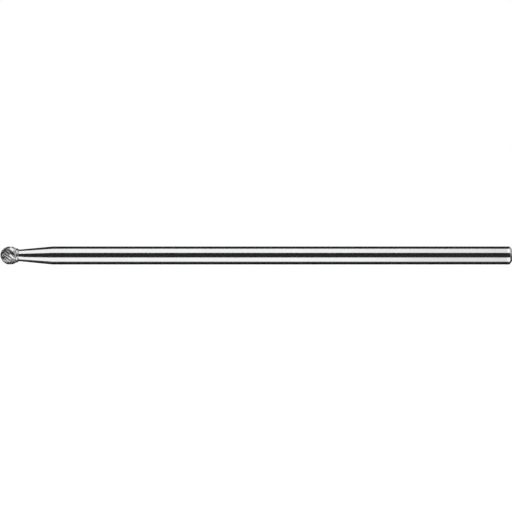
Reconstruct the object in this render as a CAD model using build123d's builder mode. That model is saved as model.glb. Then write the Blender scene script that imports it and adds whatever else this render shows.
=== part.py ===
from build123d import *

import os
from math import asin, atan, cos, degrees, exp, log, pi, radians, sin, tan

# Long-shank burr: a ball-shaped head of sintered carbide, brazed to a ground steel shank.
# It lies along X with its tip at -X, its lowest line on Z = 0 and its middle over the origin.
# Millimetres and degrees.

# Overall
overall_length = 170.0
shank_diameter = 6.0
ball_diameter = 6.0

# Head blank, from the tip backwards
ball_belt = 0.45  # cylindrical band between the two half balls
collar_length = 0.55  # plain ground collar behind the teeth
collar_chamfer = 0.1

# Main flutes: right-hand, for a right-hand cut
flute_count = 12
flute_helix = 44.5
flute_depth = 0.46
flute_start_polar = 6.0  # polar angles count from the tip, round the ball
flute_run_in = 14.0
flute_run_out = 22.0
flute_phase = 187.3
land_share = 0.09  # share of the tooth pitch left as ground ball surface
back_crown = 0.06  # how far the back of a tooth bulges from flat
rake_lean = 0.1  # how far the front of a tooth leans from the radius

# Chip breakers: left-hand, shallower, across the teeth
breaker_count = 7
breaker_helix = -46.5
breaker_depth = 0.21
breaker_start_polar = 24.0
breaker_run_in = 20.0
breaker_run_out = 16.0
breaker_phase = 174.0
breaker_flank = 0.93  # half width for each unit of depth

# Brazed joint and shank
braze_thickness = 0.1
braze_step = 0.29  # how far the head's rear face stands out round the front of the neck
braze_fillet_length = 0.25
braze_fillet_hollow = 0.03
neck_front_diameter = 3.86
neck_length = 11.4
end_chamfer = 0.9
end_edge_radius = 0.12

# Clearances of the grinding cutters
start_clearance = 0.03  # how far a flute's root stands above the ball where it starts and ends
cutter_overlap = 0.1  # share of a tooth's back by which its cutter runs past the cutting edge
cutter_height = 0.35  # how far the cutters reach out of the ball

# Worked out
ball_radius = ball_diameter / 2
shank_radius = shank_diameter / 2
neck_front_radius = neck_front_diameter / 2
head_face_radius = neck_front_radius + braze_step
collar_radius = head_face_radius + collar_chamfer
axis_height = max(ball_radius, shank_radius)
tip_x = -overall_length / 2

front_centre = ball_radius
rear_centre = front_centre + ball_belt
collar_polar = 180 - degrees(asin(collar_radius / ball_radius))
collar_start = rear_centre - ball_radius * cos(radians(collar_polar))
head_length = collar_start + collar_length
cutter_end_polar = collar_polar + 2

shank_start = head_length + braze_thickness
neck_end = shank_start + neck_length
neck_slope = (shank_radius - neck_front_radius) / neck_length
fillet_end = shank_start + braze_fillet_length
fillet_end_radius = neck_front_radius + neck_slope * braze_fillet_length

# The profile plane holds (distance from the tip, radius), and the burr's own frame has Z along its axis.
profile_plane = Plane(origin=(tip_x, 0, axis_height), x_dir=(1, 0, 0), z_dir=(0, -1, 0))
burr_frame = Plane(origin=(tip_x, 0, axis_height), x_dir=(0, 1, 0), z_dir=(1, 0, 0))
burr_axis = Axis((tip_x, 0, axis_height), (1, 0, 0))


def latitude(polar):
    """The natural scale along a line of constant helix angle: zero at the ball's widest circle."""
    return log(tan(radians(polar) / 2))


def polar_steps(start, end, count):
    """Polar angles in even steps of latitude, so that they crowd together towards the tip."""
    low = latitude(start)
    step = (latitude(end) - low) / (count - 1)
    return [degrees(2 * atan(exp(low + step * i))) for i in range(count)]


def groove_plane(polar, helix):
    """The plane across a groove, in the burr's frame, from the ball's centre out through its root."""
    belt_passed = ball_belt * (1 - cos(radians(polar))) / 2
    turned = tan(radians(helix)) * (latitude(polar) + belt_passed / ball_radius)
    p = radians(polar)
    outward = Vector(sin(p) * cos(turned), sin(p) * sin(turned), -cos(p))
    backward = Vector(cos(p) * cos(turned), cos(p) * sin(turned), sin(p))
    sideways = Vector(-sin(turned), cos(turned), 0)
    along = backward * cos(radians(helix)) + sideways * sin(radians(helix))
    centre = (0, 0, front_centre + belt_passed)
    return Plane(origin=centre, x_dir=outward.cross(along), z_dir=along)


def ground_depth(polar, full, start, run_in, run_out):
    """Depth of a groove: it grows from the tip and fades out at both ends of the wheel's path."""
    entry = sin(min(1, (polar - start) / run_in) * pi / 2)
    leave = sin(min(1, (cutter_end_polar - polar) / run_out) * pi / 2)
    reach = sin(radians(polar))
    return (full + start_clearance) * reach**0.6 * entry * leave - start_clearance * reach


# The form of one main flute: a steep front below one tooth's edge and the long back of the next tooth
with BuildPart() as flute:
    for polar in polar_steps(flute_start_polar, cutter_end_polar, 13):
        pitch = 2 * pi * sin(radians(polar)) / flute_count * cos(radians(flute_helix))
        back = pitch * (1 - land_share)
        depth = ground_depth(polar, flute_depth, flute_start_polar, flute_run_in, flute_run_out)
        root = Vector(0, ball_radius - depth)
        edge = Vector(ball_radius * sin(back), ball_radius * cos(back))
        past_edge = edge + (edge - root) * cutter_overlap
        top = ball_radius * (1 + cutter_height * back)
        with BuildSketch(groove_plane(polar, flute_helix)):
            with BuildLine():
                SagittaArc((root.X, root.Y), (past_edge.X, past_edge.Y), back_crown * back)
                Polyline(
                    (past_edge.X, past_edge.Y),
                    (past_edge.X, top),
                    (-rake_lean * (top - root.Y), top),
                    (root.X, root.Y),
                )
            make_face()
    loft()

# The form of one chip breaker: a symmetrical V
with BuildPart() as chip_breaker:
    for polar in polar_steps(breaker_start_polar, cutter_end_polar, 11):
        depth = ground_depth(polar, breaker_depth, breaker_start_polar, breaker_run_in, breaker_run_out)
        half_width = (depth + cutter_height) * breaker_flank
        with BuildSketch(groove_plane(polar, breaker_helix)):
            with BuildLine():
                Polyline(
                    (0, ball_radius - depth),
                    (half_width, ball_radius + cutter_height),
                    (-half_width, ball_radius + cutter_height),
                    close=True,
                )
            make_face()
    loft()

# Cutting head: a ball with a plain collar, then the flutes and the chip breakers ground into it
with BuildPart(burr_frame) as cutting_head:
    with BuildSketch(profile_plane):
        with BuildLine():
            CenterArc((front_centre, 0), ball_radius, 180, -90)
            Line((front_centre, ball_radius), (rear_centre, ball_radius))
            CenterArc((rear_centre, 0), ball_radius, 90, 90 - collar_polar)
            Polyline(
                (collar_start, collar_radius),
                (head_length - collar_chamfer, collar_radius),
                (head_length, head_face_radius),
                (head_length, 0),
                (0, 0),
            )
        make_face()
    revolve(axis=burr_axis)
    with PolarLocations(0, flute_count, start_angle=flute_phase):
        add(flute.part, mode=Mode.SUBTRACT)
    with PolarLocations(0, breaker_count, start_angle=breaker_phase):
        add(chip_breaker.part, mode=Mode.SUBTRACT)

# Braze: a thin disc between the faces, with a hollow fillet round the front of the neck
with BuildPart() as braze_joint:
    with BuildSketch(profile_plane):
        with BuildLine():
            SagittaArc((head_length, head_face_radius), (fillet_end, fillet_end_radius), -braze_fillet_hollow)
            Polyline(
                (fillet_end, fillet_end_radius),
                (shank_start, neck_front_radius),
                (shank_start, 0),
                (head_length, 0),
                (head_length, head_face_radius),
            )
        make_face()
    revolve(axis=burr_axis)

# Shank: a tapered neck, the long plain shank and a chamfered end
with BuildPart() as shank:
    with BuildSketch(profile_plane):
        with BuildLine():
            Polyline(
                (shank_start, 0),
                (shank_start, neck_front_radius),
                (neck_end, shank_radius),
                (overall_length, shank_radius),
                (overall_length, 0),
                close=True,
            )
        make_face()
    revolve(axis=burr_axis)
    end_rim = shank.edges().filter_by(GeomType.CIRCLE).sort_by(Axis.X)[-1]
    chamfer(end_rim, end_chamfer)
    chamfer_rims = shank.edges().filter_by(GeomType.CIRCLE).sort_by(Axis.X)[-2:]
    fillet(chamfer_rims, end_edge_radius)

cutting_head.part.label = "cutting_head"
braze_joint.part.label = "braze_joint"
shank.part.label = "shank"

os.makedirs("parts", exist_ok=True)
export_step(cutting_head.part, "parts/cutting_head.step")
export_step(braze_joint.part, "parts/braze_joint.step")
export_step(shank.part, "parts/shank.step")
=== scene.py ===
from math import asin, cos, pi, radians, sin, tan

import bpy
import numpy as np
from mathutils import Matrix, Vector


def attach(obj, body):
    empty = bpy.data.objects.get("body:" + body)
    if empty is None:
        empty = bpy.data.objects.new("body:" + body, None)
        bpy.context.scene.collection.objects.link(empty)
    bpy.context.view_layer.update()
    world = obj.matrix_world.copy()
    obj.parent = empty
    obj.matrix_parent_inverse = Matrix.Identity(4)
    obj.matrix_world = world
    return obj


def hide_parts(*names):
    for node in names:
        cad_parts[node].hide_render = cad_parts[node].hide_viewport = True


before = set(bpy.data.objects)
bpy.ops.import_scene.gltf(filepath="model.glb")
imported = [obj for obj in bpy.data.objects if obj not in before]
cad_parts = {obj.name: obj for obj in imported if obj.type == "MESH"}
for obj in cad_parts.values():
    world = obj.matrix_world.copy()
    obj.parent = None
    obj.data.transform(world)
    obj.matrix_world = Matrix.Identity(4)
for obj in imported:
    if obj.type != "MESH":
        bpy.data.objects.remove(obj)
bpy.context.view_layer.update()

# Sizes of the burr, in millimetres and degrees, with the part's own names. Points on it are
# (distance from the tip, radius), and an azimuth turns from +Y towards +Z round its axis.
overall_length = 170.0
shank_radius = 3.0
ball_radius = 3.0
ball_belt = 0.45
collar_length = 0.55
collar_chamfer = 0.1

flute_count = 12
flute_helix = 44.5
flute_depth = 0.46
flute_start_polar = 6.0
flute_run_in = 14.0
flute_run_out = 22.0
flute_phase = 187.3
land_share = 0.09
back_crown = 0.06
rake_lean = 0.1

breaker_count = 7
breaker_helix = -46.5
breaker_depth = 0.21
breaker_start_polar = 24.0
breaker_run_in = 20.0
breaker_run_out = 16.0
breaker_phase = 174.0
breaker_flank = 0.93

braze_thickness = 0.1
braze_step = 0.29
braze_fillet_length = 0.25
braze_fillet_hollow = 0.03
neck_front_radius = 1.93
neck_length = 11.4
end_chamfer = 0.9
end_edge_radius = 0.12
start_clearance = 0.03
cutter_overlap = 0.1
cutter_height = 0.35

MM = 0.001
tip_x = -overall_length / 2
axis_height = 3.0
front_centre = ball_radius
rear_centre = front_centre + ball_belt
head_face_radius = neck_front_radius + braze_step
collar_radius = head_face_radius + collar_chamfer
collar_polar = pi - asin(collar_radius / ball_radius)
collar_start = rear_centre - ball_radius * cos(collar_polar)
head_length = collar_start + collar_length
cutter_end_polar = collar_polar + radians(2)
shank_start = head_length + braze_thickness
neck_end = shank_start + neck_length
neck_slope = (shank_radius - neck_front_radius) / neck_length

# Fineness of the meshes
BACK_COLUMNS = 24
LAND_COLUMNS = 4
BALL_ROWS = 176
STATIONS = 260
CUTTER_STATIONS = 90
LATHE_SIDES = 256
HOLLOW_STEPS = 6
FRONT_SAMPLES, BACK_SAMPLES = 80, 120  # points tried along a tooth's front and back to find its edge
PLACE_ROUNDS = 12  # enough for the belt's small shift to settle

# Small distances and angles in the meshes, in millimetres and degrees
FIRST_POLAR = 1.2  # the ball's first row, next to the point at the tip
FRONT_REACH = 0.8  # how far above the root the line of a tooth's front is followed
COLLAR_GAP = 0.02  # from the last row of teeth to the collar's first ring
EDGE_MARGIN = 0.01  # from a ring to the sharp edge of the collar that it keeps crisp
FACE_MARGIN = 0.05  # the same, on the rear face
SHANK_MARGIN = 0.06  # the same, at the shank's edges
NOT_GROUND = 99  # a reach past any surface, where the wheel doesn't touch the blank
HOLLOW_AXIAL, HOLLOW_RADIAL = 0.6, 0.8  # direction of the braze's hollow, square to its slope
HEAD_CREASE, BRAZE_CREASE, SHANK_CREASE = 28, 40, 30  # an edge that turns more than this stays sharp
WELD_DISTANCE = 3e-7  # metres


# The head's form: one tooth and one cutter in mesh code, then Geometry Nodes for the two rings

def latitude(polar):
    """The natural scale along a line of constant helix angle."""
    return np.log(np.tan(polar / 2))


def belt_passed(polar):
    """How far back along the belt the centre of the ball's arc is, at a polar angle."""
    return ball_belt * (1 - np.cos(polar)) / 2


def wheel_path(polar, start, run_in, run_out):
    """Share of a groove's full depth: it grows from the tip and fades at both ends of the path."""
    entry = np.sin(np.clip((polar - radians(start)) / radians(run_in), 0, 1) * pi / 2)
    leave = np.sin(np.clip((cutter_end_polar - polar) / radians(run_out), 0, 1) * pi / 2)
    return np.sin(polar) ** 0.6 * entry * leave


def blank_reach(polar):
    """From the arc's centre to the surface of the head before it is ground."""
    passed, s, c = belt_passed(polar), np.sin(polar), np.cos(polar)
    front = passed * c + np.sqrt(ball_radius**2 - (passed * s) ** 2)
    left = passed - ball_belt
    rear = left * c + np.sqrt(ball_radius**2 - (left * s) ** 2)
    belt = ball_radius / np.maximum(s, 1e-6)
    reach = np.where(passed - front * c < 0, front, np.where(left - rear * c > 0, rear, belt))
    on_collar = front_centre + passed - reach * c > collar_start
    return np.where(on_collar, collar_radius / np.maximum(s, 1e-6), reach)


def polar_place(axial, radius):
    """Polar angle and reach of a point, from the arc's centre that belongs to that angle."""
    polar = np.arctan2(radius, front_centre - axial)
    for _ in range(PLACE_ROUNDS):
        polar = np.arctan2(radius, front_centre + belt_passed(polar) - axial)
    return polar, np.hypot(radius, front_centre + belt_passed(polar) - axial)


def flute_lines(polar, across, up):
    """Polar angle, azimuth and reach of points given in the planes across a flute.
    Each row of across and up belongs to one station on the flute's root."""
    helix = radians(flute_helix)
    turned = tan(helix) * (latitude(polar) + belt_passed(polar) / ball_radius)
    p = polar[:, None]
    back = up * np.sin(p) + across * np.cos(p) * sin(helix)
    side = -across * cos(helix)
    axial = front_centre + belt_passed(p) - up * np.cos(p) + across * np.sin(p) * sin(helix)
    place, reach = polar_place(axial, np.hypot(back, side))
    return place, turned[:, None] + np.arctan2(side, back), reach


def first_crossing(place, reach):
    """For each station, the fractional index where the cutter's line leaves the blank."""
    gap = reach - blank_reach(place)
    found = []
    for row in gap:
        inside = np.nonzero(row < 0)[0]
        last = inside[-1] if len(inside) else 0
        if last >= len(row) - 1 or not len(inside):
            found.append(float(last))
        else:
            found.append(last + row[last] / (row[last] - row[last + 1]))
    return np.array(found)


def taken(lines, index):
    """Each station's values at a fractional index along its line."""
    low = np.minimum(index.astype(int), lines[0].shape[1] - 2)
    part = index - low
    rows = np.arange(len(low))
    return [v[rows, low] * (1 - part) + v[rows, low + 1] * part for v in lines]


def tooth_columns(rows):
    """Azimuth and reach of one tooth's columns on circles of equal polar angle: the steep front,
    the long back up to the next edge, and the narrow land behind that edge."""
    low, high = latitude(radians(flute_start_polar)), latitude(cutter_end_polar)
    stations = 2 * np.arctan(np.exp(np.linspace(low, high, STATIONS)))
    path = wheel_path(stations, flute_start_polar, flute_run_in, flute_run_out)
    depth = (flute_depth + start_clearance) * path - start_clearance * np.sin(stations)
    root = (ball_radius - depth)[:, None]
    pitch = 2 * pi * np.sin(stations) / flute_count * cos(radians(flute_helix))
    back = (pitch * (1 - land_share))[:, None]

    rise = np.linspace(0, 1, FRONT_SAMPLES)[None, :] * FRONT_REACH
    front = flute_lines(stations, -rake_lean * rise + 0 * root, root + rise)
    share = np.linspace(0, 1 + cutter_overlap, BACK_SAMPLES)[None, :]
    edge_across, edge_up = ball_radius * np.sin(back), ball_radius * np.cos(back)
    run, climb = edge_across, edge_up - root
    length = np.hypot(run, climb)
    along = share / (1 + cutter_overlap)
    crown = 4 * along * (1 - along) * back_crown * back
    tooth_back = flute_lines(
        stations,
        run * share - crown * climb / length,
        root + climb * share + crown * run / length,
    )

    columns = [taken(front, first_crossing(front[0], front[2]))]
    ends = first_crossing(tooth_back[0], tooth_back[2])
    for k in range(BACK_COLUMNS + 1):
        columns.append(taken(tooth_back, ends * k / BACK_COLUMNS))

    blank = blank_reach(rows)
    azimuths, reaches = [], []
    for place, azimuth, reach in columns:
        azimuths.append(np.interp(rows, place, azimuth))
        ground = np.interp(rows, place, reach)
        ground[(rows < place[0]) | (rows > place[-1])] = NOT_GROUND
        reaches.append(np.minimum(ground, blank))
    start, end = azimuths[-1], azimuths[0] - 2 * pi / flute_count
    for k in range(1, LAND_COLUMNS + 1):
        azimuths.append(start + (end - start) * k / LAND_COLUMNS)
        reaches.append(blank.copy())
    reaches[-1] = reaches[0].copy()
    return np.array(azimuths).T, np.array(reaches).T


def mesh_object(name, points, faces):
    """A piece from points in millimetres."""
    mesh = bpy.data.meshes.new(name)
    mesh.from_pydata((np.array(points) * MM).tolist(), [], faces)
    made = bpy.data.objects.new(name, mesh)
    bpy.context.scene.collection.objects.link(made)
    return made


def tooth_strip(name):
    """One tooth of the head, from the tip to the middle of the rear face, round the X axis."""
    rows = np.linspace(radians(FIRST_POLAR), cutter_end_polar, BALL_ROWS)
    azimuth, reach = tooth_columns(rows)
    p = rows[:, None]
    axial = front_centre + belt_passed(p) - reach * np.cos(p)
    radius = reach * np.sin(p)
    polar = np.repeat(p, azimuth.shape[1], axis=1)

    collar_end = head_length - collar_chamfer
    ring_start = axial[-1].max() + COLLAR_GAP
    rear = [
        (ring_start, collar_radius),
        (collar_end - EDGE_MARGIN, collar_radius),
        (collar_end, collar_radius),
        (head_length, head_face_radius),
        (head_length, head_face_radius - FACE_MARGIN),
        (head_length, head_face_radius / 2),
    ]
    width = azimuth.shape[1]
    even = azimuth[-1, 0] - np.linspace(0, 2 * pi / flute_count, width)
    for ring_axial, ring_radius in rear:
        axial = np.vstack([axial, np.full(width, ring_axial)])
        radius = np.vstack([radius, np.full(width, ring_radius)])
        azimuth = np.vstack([azimuth, even])
        polar = np.vstack([polar, polar[-1]])

    turned = azimuth + radians(flute_phase)
    grid = np.stack([axial, radius * np.cos(turned), radius * np.sin(turned)], axis=-1)
    count = len(azimuth)
    points = [(0, 0, 0), (head_length, 0, 0), *grid.reshape(-1, 3)]

    def at(row, column):
        return 2 + row * width + column

    faces = [(0, at(0, c), at(0, c + 1)) for c in range(width - 1)]
    for r in range(count - 1):
        for c in range(width - 1):
            faces.append((at(r, c), at(r + 1, c), at(r + 1, c + 1), at(r, c + 1)))
    faces += [(1, at(count - 1, c + 1), at(count - 1, c)) for c in range(width - 1)]
    strip = mesh_object(name, points, faces)

    mesh = strip.data
    across = (azimuth[:, :1] - azimuth) * np.sin(polar) * ball_radius
    on_grid = np.stack([across, polar * ball_radius], -1).reshape(-1, 2)
    uv = np.vstack([[[0, 0], [0, ball_radius * pi]], on_grid])
    layer = mesh.uv_layers.new(name="grinding")
    corners = np.zeros(len(mesh.loops), int)
    mesh.loops.foreach_get("vertex_index", corners)
    layer.data.foreach_set("uv", uv[corners].ravel())
    return strip


def breaker_cutter(name):
    """What one pass of the chip breaker's wheel removes: a V along a left-hand helix, closed at
    both ends."""
    low, high = latitude(radians(breaker_start_polar)), latitude(cutter_end_polar)
    stations = 2 * np.arctan(np.exp(np.linspace(low, high, CUTTER_STATIONS)))
    path = wheel_path(stations, breaker_start_polar, breaker_run_in, breaker_run_out)
    depth = (breaker_depth + start_clearance) * path - start_clearance * np.sin(stations)
    helix = radians(breaker_helix)
    points = []
    for polar, deep in zip(stations, depth):
        passed = belt_passed(polar)
        turned = tan(helix) * (latitude(polar) + passed / ball_radius) + radians(breaker_phase)
        half_width = (deep + cutter_height) * breaker_flank
        top = ball_radius + cutter_height
        section = [(0, ball_radius - deep), (half_width, top), (-half_width, top)]
        for across, up in section:
            back = up * sin(polar) + across * cos(polar) * sin(helix)
            side = -across * cos(helix)
            axial = front_centre + passed - up * cos(polar) + across * sin(polar) * sin(helix)
            y = back * cos(turned) - side * sin(turned)
            z = back * sin(turned) + side * cos(turned)
            points.append((axial, y, z))
    last = 3 * (CUTTER_STATIONS - 1)
    faces = [(2, 1, 0), (last, last + 1, last + 2)]
    for k in range(CUTTER_STATIONS - 1):
        for side in range(3):
            a, b = 3 * k + side, 3 * k + (side + 1) % 3
            faces.append((a, b, b + 3, a + 3))
    return mesh_object(name, points, faces)


# Nodes

def add_node(tree, kind, inputs=(), **settings):
    """Adds a node with its settings, and fills its inputs with values, sockets or nodes.
    A node given as an input is linked by its first output."""
    made = tree.nodes.new(kind)
    for key, value in settings.items():
        setattr(made, key, value)
    for key, value in dict(inputs).items():
        if isinstance(value, bpy.types.Node):
            value = value.outputs[0]
        if isinstance(value, bpy.types.NodeSocket):
            tree.links.new(value, made.inputs[key])
        else:
            made.inputs[key].default_value = value
    return made


def srgb(hex_colour):
    """An sRGB hex colour as linear RGBA."""
    parts = [int(hex_colour[i : i + 2], 16) / 255 for i in (1, 3, 5)]
    return tuple(v / 12.92 if v <= 0.04045 else ((v + 0.055) / 1.055) ** 2.4 for v in parts) + (1.0,)


def head_tree():
    """Geometry Nodes: repeats one tooth round the axis, then grinds the ring of chip breakers into it."""
    tree = bpy.data.node_groups.new("double_cut_head", "GeometryNodeTree")
    sockets = [
        ("Tooth", "NodeSocketGeometry"),
        ("Teeth", "NodeSocketInt"),
        ("Cutter", "NodeSocketObject"),
        ("Chip Breakers", "NodeSocketInt"),
        ("Weld Distance", "NodeSocketFloat"),
        ("Place", "NodeSocketVector"),
        ("Material", "NodeSocketMaterial"),
    ]
    for label, kind in sockets:
        tree.interface.new_socket(label, in_out="INPUT", socket_type=kind)
    tree.interface.new_socket("Head", in_out="OUTPUT", socket_type="NodeSocketGeometry")
    given = add_node(tree, "NodeGroupInput").outputs
    cutter = add_node(tree, "GeometryNodeObjectInfo", {"Object": given["Cutter"]}).outputs["Geometry"]

    rings = []
    for shape, count in ((given["Tooth"], given["Teeth"]), (cutter, given["Chip Breakers"])):
        turn = add_node(tree, "ShaderNodeMath", {0: 2 * pi, 1: count}, operation="DIVIDE")
        index = add_node(tree, "GeometryNodeInputIndex")
        angle = add_node(tree, "ShaderNodeMath", {0: index, 1: turn}, operation="MULTIPLY")
        rotation = add_node(
            tree, "FunctionNodeAxisAngleToRotation", {"Axis": (1, 0, 0), "Angle": angle}
        )
        centres = add_node(tree, "GeometryNodePoints", {"Count": count})
        ring = add_node(
            tree,
            "GeometryNodeInstanceOnPoints",
            {"Points": centres, "Instance": shape, "Rotation": rotation},
        )
        rings.append(add_node(tree, "GeometryNodeRealizeInstances", {"Geometry": ring}))

    welded = add_node(
        tree, "GeometryNodeMergeByDistance", {"Geometry": rings[0], "Distance": given["Weld Distance"]}
    )
    ground = add_node(
        tree,
        "GeometryNodeMeshBoolean",
        {"Mesh 1": welded, "Mesh 2": rings[1]},
        operation="DIFFERENCE",
        solver="MANIFOLD",
    )
    placed = add_node(
        tree, "GeometryNodeTransform", {"Geometry": ground, "Translation": given["Place"]}
    )
    finished = add_node(
        tree, "GeometryNodeSetMaterial", {"Geometry": placed, "Material": given["Material"]}
    )
    add_node(tree, "NodeGroupOutput", {"Head": finished})
    return tree


def crisp(outline, margin):
    """The same outline with points close to both ends of each run, so that shading stays flat."""
    points = [outline[0]]
    for a, b in zip(outline, outline[1:]):
        run = Vector(b) - Vector(a)
        if run.length > 3 * margin:
            step = run.normalized() * margin
            points += [tuple(Vector(a) + step), tuple(Vector(b) - step)]
        points.append(b)
    return points


def rounded(corner, before, after, radius, steps=6):
    """Points on the arc that rounds a corner between two straight runs."""
    c, a, b = Vector(corner), Vector(before), Vector(after)
    u, v = (a - c).normalized(), (b - c).normalized()
    half = u.angle(v) / 2
    centre = c + (u + v).normalized() * (radius / sin(half))
    first = c + u * (radius / tan(half)) - centre
    last = c + v * (radius / tan(half)) - centre
    spokes = [first.slerp(last, k / steps).normalized() for k in range(steps + 1)]
    return [tuple(centre + spoke * radius) for spoke in spokes]


def turned_piece(name, outline):
    """A solid turned round the burr's axis, from an outline that starts and ends on it."""
    inner = outline[1:-1]
    points = [(tip_x + outline[0][0], 0, axis_height), (tip_x + outline[-1][0], 0, axis_height)]
    for axial, radius in inner:
        for k in range(LATHE_SIDES):
            a = 2 * pi * k / LATHE_SIDES
            points.append((tip_x + axial, radius * cos(a), axis_height + radius * sin(a)))

    def at(ring, side):
        return 2 + ring * LATHE_SIDES + side % LATHE_SIDES

    sides = range(LATHE_SIDES)
    last = len(inner) - 1
    faces = [(0, at(0, k + 1), at(0, k)) for k in sides]
    for r in range(last):
        faces += [(at(r, k), at(r, k + 1), at(r + 1, k + 1), at(r + 1, k)) for k in sides]
    faces += [(1, at(last, k), at(last, k + 1)) for k in sides]
    return mesh_object(name, points, faces)


# Materials

def new_material(name):
    """A new material, with its node tree and its shader."""
    made = bpy.data.materials.new(name)
    made.use_nodes = True
    return made, made.node_tree, made.node_tree.nodes["Principled BSDF"]


def carbide_material():
    """Sintered tungsten carbide, ground with diamond wheels and left bare: a light grey metal
    whose flats are bright and whose grinding lines run with the flutes."""
    made, tree, shader = new_material("ground_tungsten_carbide")
    shader.inputs["Metallic"].default_value = 1.0
    shader.inputs["Anisotropic"].default_value = 0.3
    where = add_node(tree, "ShaderNodeTexCoord").outputs["Object"]
    lines = add_node(tree, "ShaderNodeUVMap", uv_map="grinding")
    # Grinding lines at their real size: the grit leaves them about 0.03 mm apart, 1.5 mm long
    stretched = add_node(tree, "ShaderNodeMapping", {0: lines, "Scale": (30.0, 0.7, 1.0)})
    scratch = add_node(
        tree,
        "ShaderNodeTexNoise",
        {"Vector": stretched, "Scale": 1.0, "Detail": 3.0, "Roughness": 0.6},
        noise_dimensions="2D",
    )
    # Sintered grain shows as a cloudiness about 0.4 mm wide
    cloud = add_node(tree, "ShaderNodeTexNoise", {"Vector": where, "Scale": 2500.0, "Detail": 2.0})
    colour = add_node(
        tree, "ShaderNodeMix", {0: cloud, 6: srgb("#c0c1c3"), 7: srgb("#d0d1d2")}, data_type="RGBA"
    )
    tree.links.new(colour.outputs[2], shader.inputs["Base Color"])
    rough = add_node(
        tree,
        "ShaderNodeMapRange",
        {"Value": scratch, "From Min": 0.3, "From Max": 0.7, "To Min": 0.2, "To Max": 0.32},
    )
    tree.links.new(rough.outputs[0], shader.inputs["Roughness"])
    # Lines some microns deep
    bump = add_node(
        tree, "ShaderNodeBump", {"Height": scratch, "Strength": 0.25, "Distance": 0.000006}
    )
    tree.links.new(bump.outputs[0], shader.inputs["Normal"])
    return made


# Where the shank's painted highlight lies: its start, where it reaches full strength, and its end
HIGHLIGHT_START, HIGHLIGHT_FULL, HIGHLIGHT_END = 0.0829, 0.0836, 0.08412  # metres along X


def steel_material():
    """Hardened tool steel, centreless ground: bright, with grinding lines round the shank that are
    only microns deep. They spread a reflection along the shank and leave it sharp across."""
    made, tree, shader = new_material("centreless_ground_steel")
    shader.inputs["Metallic"].default_value = 1.0
    shader.inputs["Anisotropic"].default_value = 0.75
    shader.inputs["Anisotropic Rotation"].default_value = 0.25
    round_axis = add_node(tree, "ShaderNodeTangent", direction_type="RADIAL", axis="X")
    tree.links.new(round_axis.outputs[0], shader.inputs["Tangent"])
    where = add_node(tree, "ShaderNodeTexCoord").outputs["Object"]
    # Grinding lines: really about 0.02 mm apart, drawn 0.25 mm apart so that they show
    squeezed = add_node(tree, "ShaderNodeMapping", {0: where, "Scale": (4000.0, 60.0, 60.0)})
    lines = add_node(
        tree,
        "ShaderNodeTexNoise",
        {"Vector": squeezed, "Scale": 1.0, "Detail": 4.0, "Roughness": 0.65},
    )
    # The grinding wheel's slow wander: bands some 8 mm long
    wander_at = add_node(tree, "ShaderNodeMapping", {0: where, "Scale": (120.0, 30.0, 30.0)})
    wander = add_node(
        tree, "ShaderNodeTexNoise", {"Vector": wander_at, "Scale": 1.0, "Detail": 2.0}
    )
    tone = add_node(
        tree, "ShaderNodeMix", {0: wander, 6: srgb("#c3c4c6"), 7: srgb("#d0d1d2")}, data_type="RGBA"
    )
    # A painted highlight: the base colour is lighter in a band just before the chamfer, 1.2 mm long with
    # its soft start
    along = add_node(tree, "ShaderNodeSeparateXYZ", {0: where}).outputs["X"]
    painted_highlight = add_node(
        tree,
        "ShaderNodeMapRange",
        {"Value": along, "From Min": HIGHLIGHT_START, "From Max": HIGHLIGHT_FULL},
        interpolation_type="SMOOTHSTEP",
    )
    before_chamfer = add_node(
        tree, "ShaderNodeMath", {0: along, 1: HIGHLIGHT_END}, operation="LESS_THAN"
    )
    painted_highlight = add_node(tree, "ShaderNodeMath", {0: painted_highlight, 1: before_chamfer}, operation="MULTIPLY")
    tone_with_highlight = add_node(
        tree, "ShaderNodeMix", {0: painted_highlight, 6: tone.outputs[2], 7: srgb("#e2e2e2")}, data_type="RGBA"
    )
    tree.links.new(tone_with_highlight.outputs[2], shader.inputs["Base Color"])
    rough = add_node(
        tree,
        "ShaderNodeMapRange",
        {"Value": lines, "From Min": 0.3, "From Max": 0.7, "To Min": 0.14, "To Max": 0.19},
    )
    tree.links.new(rough.outputs[0], shader.inputs["Roughness"])
    bump = add_node(tree, "ShaderNodeBump", {"Height": lines, "Strength": 0.15, "Distance": 0.000003})
    tree.links.new(bump.outputs[0], shader.inputs["Normal"])
    return made


def braze_material():
    """Silver brazing alloy: a soft, faintly warm white metal, cleaned but a little uneven."""
    made, tree, shader = new_material("silver_brazing_alloy")
    shader.inputs["Metallic"].default_value = 1.0
    where = add_node(tree, "ShaderNodeTexCoord").outputs["Object"]
    # Unevenness left by the flow of the braze, in patches about 0.6 mm wide
    uneven = add_node(
        tree, "ShaderNodeTexNoise", {"Vector": where, "Scale": 1800.0, "Detail": 3.0}
    )
    colour = add_node(
        tree, "ShaderNodeMix", {0: uneven, 6: srgb("#a5a4a0"), 7: srgb("#bbb9b4")}, data_type="RGBA"
    )
    tree.links.new(colour.outputs[2], shader.inputs["Base Color"])
    rough = add_node(tree, "ShaderNodeMapRange", {"Value": uneven, "To Min": 0.14, "To Max": 0.24})
    tree.links.new(rough.outputs[0], shader.inputs["Roughness"])
    bump = add_node(tree, "ShaderNodeBump", {"Height": uneven, "Strength": 0.4, "Distance": 0.00001})
    tree.links.new(bump.outputs[0], shader.inputs["Normal"])
    return made


def keep_piece(piece, material, node, crease):
    """Shades a finished piece and lets it stand for its CAD node."""
    mesh = piece.data
    if material.name not in mesh.materials:
        mesh.materials.append(material)
    mesh.polygons.foreach_set("use_smooth", [True] * len(mesh.polygons))
    mesh.set_sharp_from_angle(angle=radians(crease))
    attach(piece, "root")
    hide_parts(node)


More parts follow.
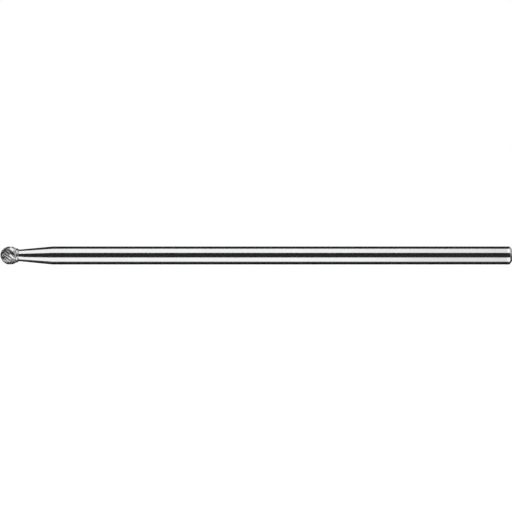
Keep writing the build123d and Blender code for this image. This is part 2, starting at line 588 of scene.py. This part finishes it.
# Head
carbide = carbide_material()
tooth = tooth_strip("tooth")
cutter = breaker_cutter("breaker_cutter")
for shape in (tooth, cutter):
    shape.data.materials.append(carbide)
grinding = head_tree()
modifier = tooth.modifiers.new("double_cut_head", "NODES")
modifier.node_group = grinding
head_values = {
    "Teeth": flute_count,
    "Cutter": cutter,
    "Chip Breakers": breaker_count,
    "Weld Distance": WELD_DISTANCE,
    "Place": (tip_x * MM, 0.0, axis_height * MM),
    "Material": carbide,
}
for item in grinding.interface.items_tree:
    if item.in_out == "INPUT" and item.name in head_values:
        modifier[item.identifier] = head_values[item.name]
evaluated = tooth.evaluated_get(bpy.context.evaluated_depsgraph_get())
head_mesh = bpy.data.meshes.new_from_object(evaluated)
head_mesh.name = "fluted_head"
tooth.modifiers.remove(modifier)
bpy.data.objects.remove(tooth)
bpy.data.objects.remove(cutter)
head = bpy.data.objects.new("fluted_head", head_mesh)
bpy.context.scene.collection.objects.link(head)
keep_piece(head, carbide, "cutting_head", HEAD_CREASE)

# Braze ring and shank
fillet_end = shank_start + braze_fillet_length
fillet_end_radius = neck_front_radius + neck_slope * braze_fillet_length
hollow = []
for k in range(HOLLOW_STEPS + 1):
    share = k / HOLLOW_STEPS
    dip = 4 * share * (1 - share) * braze_fillet_hollow
    axial = head_length + (fillet_end - head_length) * share - dip * HOLLOW_AXIAL
    radius = head_face_radius + (fillet_end_radius - head_face_radius) * share - dip * HOLLOW_RADIAL
    hollow.append((axial, radius))
braze_outline = [(head_length, 0), *hollow, (shank_start, neck_front_radius), (shank_start, 0)]
braze_ring = turned_piece("braze_ring", braze_outline)
keep_piece(braze_ring, braze_material(), "braze_joint", BRAZE_CREASE)

chamfer_start = (overall_length - end_chamfer, shank_radius)
chamfer_end = (overall_length, shank_radius - end_chamfer)
shank_outline = crisp(
    [
        (shank_start, 0),
        (shank_start, neck_front_radius),
        (neck_end, shank_radius),
        *rounded(chamfer_start, (neck_end, shank_radius), chamfer_end, end_edge_radius),
        *rounded(chamfer_end, chamfer_start, (overall_length, 0), end_edge_radius),
        (overall_length, 0),
    ],
    SHANK_MARGIN,
)
ground_shank = turned_piece("ground_shank", shank_outline)
keep_piece(ground_shank, steel_material(), "shank", SHANK_CREASE)


# Stage

def stage_mesh(name, points, faces, material):
    """A sheet of the stage, from points in metres."""
    mesh = bpy.data.meshes.new(name)
    mesh.from_pydata(points, [], faces)
    mesh.materials.append(material)
    made = bpy.data.objects.new(name, mesh)
    bpy.context.scene.collection.objects.link(made)
    return made


def sheet(name, left, right, first, second, material):
    """A flat sheet between two edges along X, each given as (Y, Z)."""
    points = [(left, *first), (right, *first), (right, *second), (left, *second)]
    return stage_mesh(name, points, [(0, 1, 2, 3)], material)


def floor_card(name, left, right, front, back, material):
    """A card lying on the floor, just clear of it."""
    return sheet(name, left, right, (front, CARD_LIFT), (back, CARD_LIFT), material)


def wall(name, x, front, back, height, material):
    """An upright sheet across the burr's axis, standing on the floor."""
    points = [(x, front, 0.0), (x, front, height), (x, back, height), (x, back, 0.0)]
    return stage_mesh(name, points, [(0, 1, 2, 3)], material)


def seen_directly(tree):
    """1 for rays from the camera, off gloss or through glass, which show the white background."""
    rays = add_node(tree, "ShaderNodeLightPath").outputs
    shown = rays["Is Camera Ray"]
    for ray in ("Is Glossy Ray", "Is Transmission Ray"):
        shown = add_node(tree, "ShaderNodeMath", {0: shown, 1: rays[ray]}, operation="MAXIMUM")
    return shown


def floor_material():
    """White card: the lamps give it the burr's real shadow, and a glow shows it as white away from the
    burr. That glow is weaker close to the burr and darkened under it by ambient occlusion, which paints
    in more shade round the burr.
    """
    made, tree, shader = new_material("white_card_floor")
    shader.inputs["Base Color"].default_value = srgb("#f2f2f2")
    shader.inputs["Roughness"].default_value = 0.9
    shader.inputs["Specular IOR Level"].default_value = 0.0
    where = add_node(tree, "ShaderNodeTexCoord").outputs["Object"]
    # Painted shade: the glow is full 0.7 m away and falls to 0.35 within 0.12 m, and ambient occlusion
    # darkens it further under the burr
    away = add_node(tree, "ShaderNodeVectorMath", {0: where}, operation="LENGTH").outputs["Value"]
    lift = add_node(
        tree,
        "ShaderNodeMapRange",
        {"Value": away, "From Min": 0.12, "From Max": 0.7, "To Min": 0.35, "To Max": 1.0},
        interpolation_type="SMOOTHSTEP",
    )
    open_sky = add_node(tree, "ShaderNodeAmbientOcclusion", {"Distance": 0.012}, samples=8)
    near = add_node(tree, "ShaderNodeMath", {0: lift, 1: open_sky.outputs["AO"]}, operation="MULTIPLY")
    strength = add_node(tree, "ShaderNodeMath", {0: near, 1: seen_directly(tree)}, operation="MULTIPLY")
    shader.inputs["Emission Color"].default_value = (1, 1, 1, 1)
    tree.links.new(strength.outputs[0], shader.inputs["Emission Strength"])
    return made


def card_material(name, colour):
    """Matt card, without any gloss."""
    made, _, shader = new_material(name)
    shader.inputs["Base Color"].default_value = srgb(colour)
    shader.inputs["Roughness"].default_value = 1.0
    shader.inputs["Specular IOR Level"].default_value = 0.0
    return made


def glow_material(name, strength):
    """A panel that glows evenly."""
    made, tree, _ = new_material(name)
    tree.nodes.clear()
    glow = add_node(tree, "ShaderNodeEmission", {"Strength": strength})
    add_node(tree, "ShaderNodeOutputMaterial", {"Surface": glow})
    return made


def white_strip_material():
    """A strip that glows white, a little less towards the shank's end."""
    made, tree, _ = new_material("white_strip")
    tree.nodes.clear()
    where = add_node(tree, "ShaderNodeTexCoord").outputs["Object"]
    along = add_node(tree, "ShaderNodeSeparateXYZ", {0: where}).outputs["X"]
    level = add_node(
        tree,
        "ShaderNodeMapRange",
        {"Value": along, "From Min": 0.03, "From Max": 0.07, "To Min": 1.5, "To Max": 1.22},
        interpolation_type="SMOOTHSTEP",
    )
    glow = add_node(tree, "ShaderNodeEmission", {"Strength": level})
    add_node(tree, "ShaderNodeOutputMaterial", {"Surface": glow})
    return made


FLOOR_REACH = 6.0
sheet("floor", -FLOOR_REACH, FLOOR_REACH, (-FLOOR_REACH, 0), (FLOOR_REACH, 0), floor_material())

# Cards that only reflections see. Black: round the lens, on the floor past the tip, behind the burr,
# low beyond the shank's end and behind the soft box. Charcoal: under the burr, where it is painted
# shade that stands in for the floor's shade there, on the floor past the shank's end and upright
# beyond the tip. Glowing: a white strip on the floor in front of the burr, and a grey panel beyond
# the shank's end. Metres.
CARD_LIFT, STRIP_LIFT = 0.00002, 0.00004
SIDE_REACH = 2.5
LENS_CARD_FRONT, LENS_CARD_DISTANCE, LENS_CARD_ANGLE = -0.0050, 0.9, radians(34)
UNDER_CARD_FRONT, UNDER_CARD_BACK = -0.0030, 0.0015
TIP_FLOOR_BACK = 0.3
END_FLOOR_RIGHT, END_FLOOR_BACK = 0.3, 0.02
BACK_CARD_TOP, BACK_CARD_FOOT, BACK_CARD_RIGHT = (0.14, 0.93), (1.3, 0.0), 0.45
HOUSING_FRONT, HOUSING_BACK = (-0.80, 0.53), (0.15, 0.95)
PANEL_X, PANEL_FRONT, PANEL_BACK, PANEL_HEIGHT, PANEL_GLOW = 0.75, -0.3, 1.6, 1.2, 0.58
END_CARD_X, END_CARD_FRONT, END_CARD_BACK, END_CARD_HEIGHT = 0.7, -0.25, 0.06, 0.13
TIP_CARD_X, TIP_CARD_REACH, TIP_CARD_HEIGHT = -0.72, 1.2, 1.4

# The white strip's width changes along the burr: where it is along X, its front and its back edge
STRIP_LEFT, STRIP_RIGHT = -0.0865, 0.089
STRIP_HEAD_END, STRIP_NECK_START, STRIP_NECK_END = -0.0795, -0.079, -0.0676
HEAD_STRIP = (-0.0080, -0.0022)
NECK_STRIP = (-0.0062, -0.0018)
SHANK_STRIP = (-0.0075, -0.0023)
strip_stations = [
    (STRIP_LEFT, *HEAD_STRIP),
    (STRIP_HEAD_END, *HEAD_STRIP),
    (STRIP_NECK_START, *NECK_STRIP),
    (STRIP_NECK_END, *SHANK_STRIP),
    (STRIP_RIGHT, *SHANK_STRIP),
]
strip_points = []
for x, strip_front, strip_back in strip_stations:
    strip_points += [(x, strip_front, STRIP_LIFT), (x, strip_back, STRIP_LIFT)]
strip_faces = [(k, k + 2, k + 3, k + 1) for k in range(0, len(strip_points) - 2, 2)]

black_card = card_material("black_card", "#3a3a3a")
charcoal_card = card_material("charcoal_card", "#6e6e6e")
lens_card_top = LENS_CARD_DISTANCE * tan(LENS_CARD_ANGLE) + axis_height * MM
lens_card_edges = [
    (LENS_CARD_FRONT, CARD_LIFT),
    (-LENS_CARD_DISTANCE, CARD_LIFT),
    (-LENS_CARD_DISTANCE, lens_card_top),
]
lens_card_points = [(side * SIDE_REACH, *edge) for edge in lens_card_edges for side in (-1, 1)]
cards = [
    stage_mesh("lens_card", lens_card_points, [(0, 1, 3, 2), (2, 3, 5, 4)], black_card),
    # Painted shade: in reflections, this charcoal card stands in for the floor's shade under the burr
    floor_card(
        "under_card", STRIP_LEFT, STRIP_RIGHT, UNDER_CARD_FRONT, UNDER_CARD_BACK, charcoal_card
    ),
    stage_mesh("white_strip", strip_points, strip_faces, white_strip_material()),
    floor_card(
        "tip_floor_card", -SIDE_REACH, STRIP_LEFT, LENS_CARD_FRONT, TIP_FLOOR_BACK, black_card
    ),
    floor_card(
        "end_floor_card",
        STRIP_RIGHT,
        END_FLOOR_RIGHT,
        LENS_CARD_FRONT,
        END_FLOOR_BACK,
        charcoal_card,
    ),
    sheet("back_card", -SIDE_REACH, BACK_CARD_RIGHT, BACK_CARD_TOP, BACK_CARD_FOOT, black_card),
    wall(
        "grey_panel",
        PANEL_X,
        PANEL_FRONT,
        PANEL_BACK,
        PANEL_HEIGHT,
        glow_material("grey_panel", PANEL_GLOW),
    ),
    wall("end_card", END_CARD_X, END_CARD_FRONT, END_CARD_BACK, END_CARD_HEIGHT, black_card),
    wall("tip_card", TIP_CARD_X, -TIP_CARD_REACH, TIP_CARD_REACH, TIP_CARD_HEIGHT, charcoal_card),
    sheet("soft_box_housing", -SIDE_REACH, SIDE_REACH, HOUSING_FRONT, HOUSING_BACK, black_card),
]
for card in cards:
    card.visible_camera = False
    card.visible_diffuse = False
    card.visible_shadow = False
    card.visible_transmission = False

SOFT_BOX_LOW, SOFT_BOX_HIGH = (0, -0.737, 0.516), (0, 0.090, 0.896)


def softbox(name, low_x, high_x, radiance):
    """A soft box over the front of the burr, from 35 degrees above the lens to just past overhead."""
    low_edge = Vector(SOFT_BOX_LOW)
    high_edge = Vector(SOFT_BOX_HIGH)
    depth = (high_edge - low_edge).length
    width = high_x - low_x
    lamp = bpy.data.lights.new(name, "AREA")
    lamp.shape = "RECTANGLE"
    lamp.size = width
    lamp.size_y = depth
    lamp.energy = radiance * pi * width * depth
    made = bpy.data.objects.new(name, lamp)
    middle = (low_edge + high_edge) / 2
    made.location = (low_x + width / 2, middle.y, middle.z)
    away = Vector((1, 0, 0)).cross(high_edge - low_edge)
    made.rotation_euler = away.to_track_quat("Z", "Y").to_euler()
    made.visible_camera = False
    bpy.context.scene.collection.objects.link(made)
    return made


# The soft box is in two parts: the one past the burr's shank end is dimmer
SOFT_BOX_LEFT, SOFT_BOX_SPLIT, SOFT_BOX_RIGHT = -0.67, 0.12, 2.2
SOFT_BOX_RADIANCE, SOFT_BOX_END_RADIANCE = 1.47, 1.14
softbox("softbox", SOFT_BOX_LEFT, SOFT_BOX_SPLIT, SOFT_BOX_RADIANCE)
softbox("softbox_end", SOFT_BOX_SPLIT, SOFT_BOX_RIGHT, SOFT_BOX_END_RADIANCE)

# World: white where it is seen, a plain level of light elsewhere
world = bpy.data.worlds.new("white_room")
bpy.context.scene.world = world
world.use_nodes = True
sky = world.node_tree
sky.nodes.clear()
lit = add_node(sky, "ShaderNodeBackground", {"Color": (1, 1, 1, 1), "Strength": 0.35})
shown = add_node(sky, "ShaderNodeBackground", {"Color": (1, 1, 1, 1), "Strength": 1.0})
mixed = add_node(sky, "ShaderNodeMixShader", {0: seen_directly(sky), 1: lit, 2: shown})
add_node(sky, "ShaderNodeOutputWorld", {"Surface": mixed})

# Camera: level, square to the burr's axis and 0.17 mm below it
LENS, SENSOR = 200.0, 36.0
PICTURE_WIDTH = 170.08 * MM
CAMERA_X, CAMERA_Z = -0.09 * MM, 2.834 * MM
camera_data = bpy.data.cameras.new("camera")
camera_data.lens = LENS
camera_data.sensor_width = SENSOR
camera_data.clip_start = 0.01
camera_data.clip_end = 20.0
camera = bpy.data.objects.new("camera", camera_data)
camera.location = (CAMERA_X, -PICTURE_WIDTH * LENS / SENSOR, CAMERA_Z)
camera.rotation_euler = (pi / 2, 0, 0)
bpy.context.scene.collection.objects.link(camera)
bpy.context.scene.camera = camera
bpy.context.scene.view_settings.view_transform = "Standard"
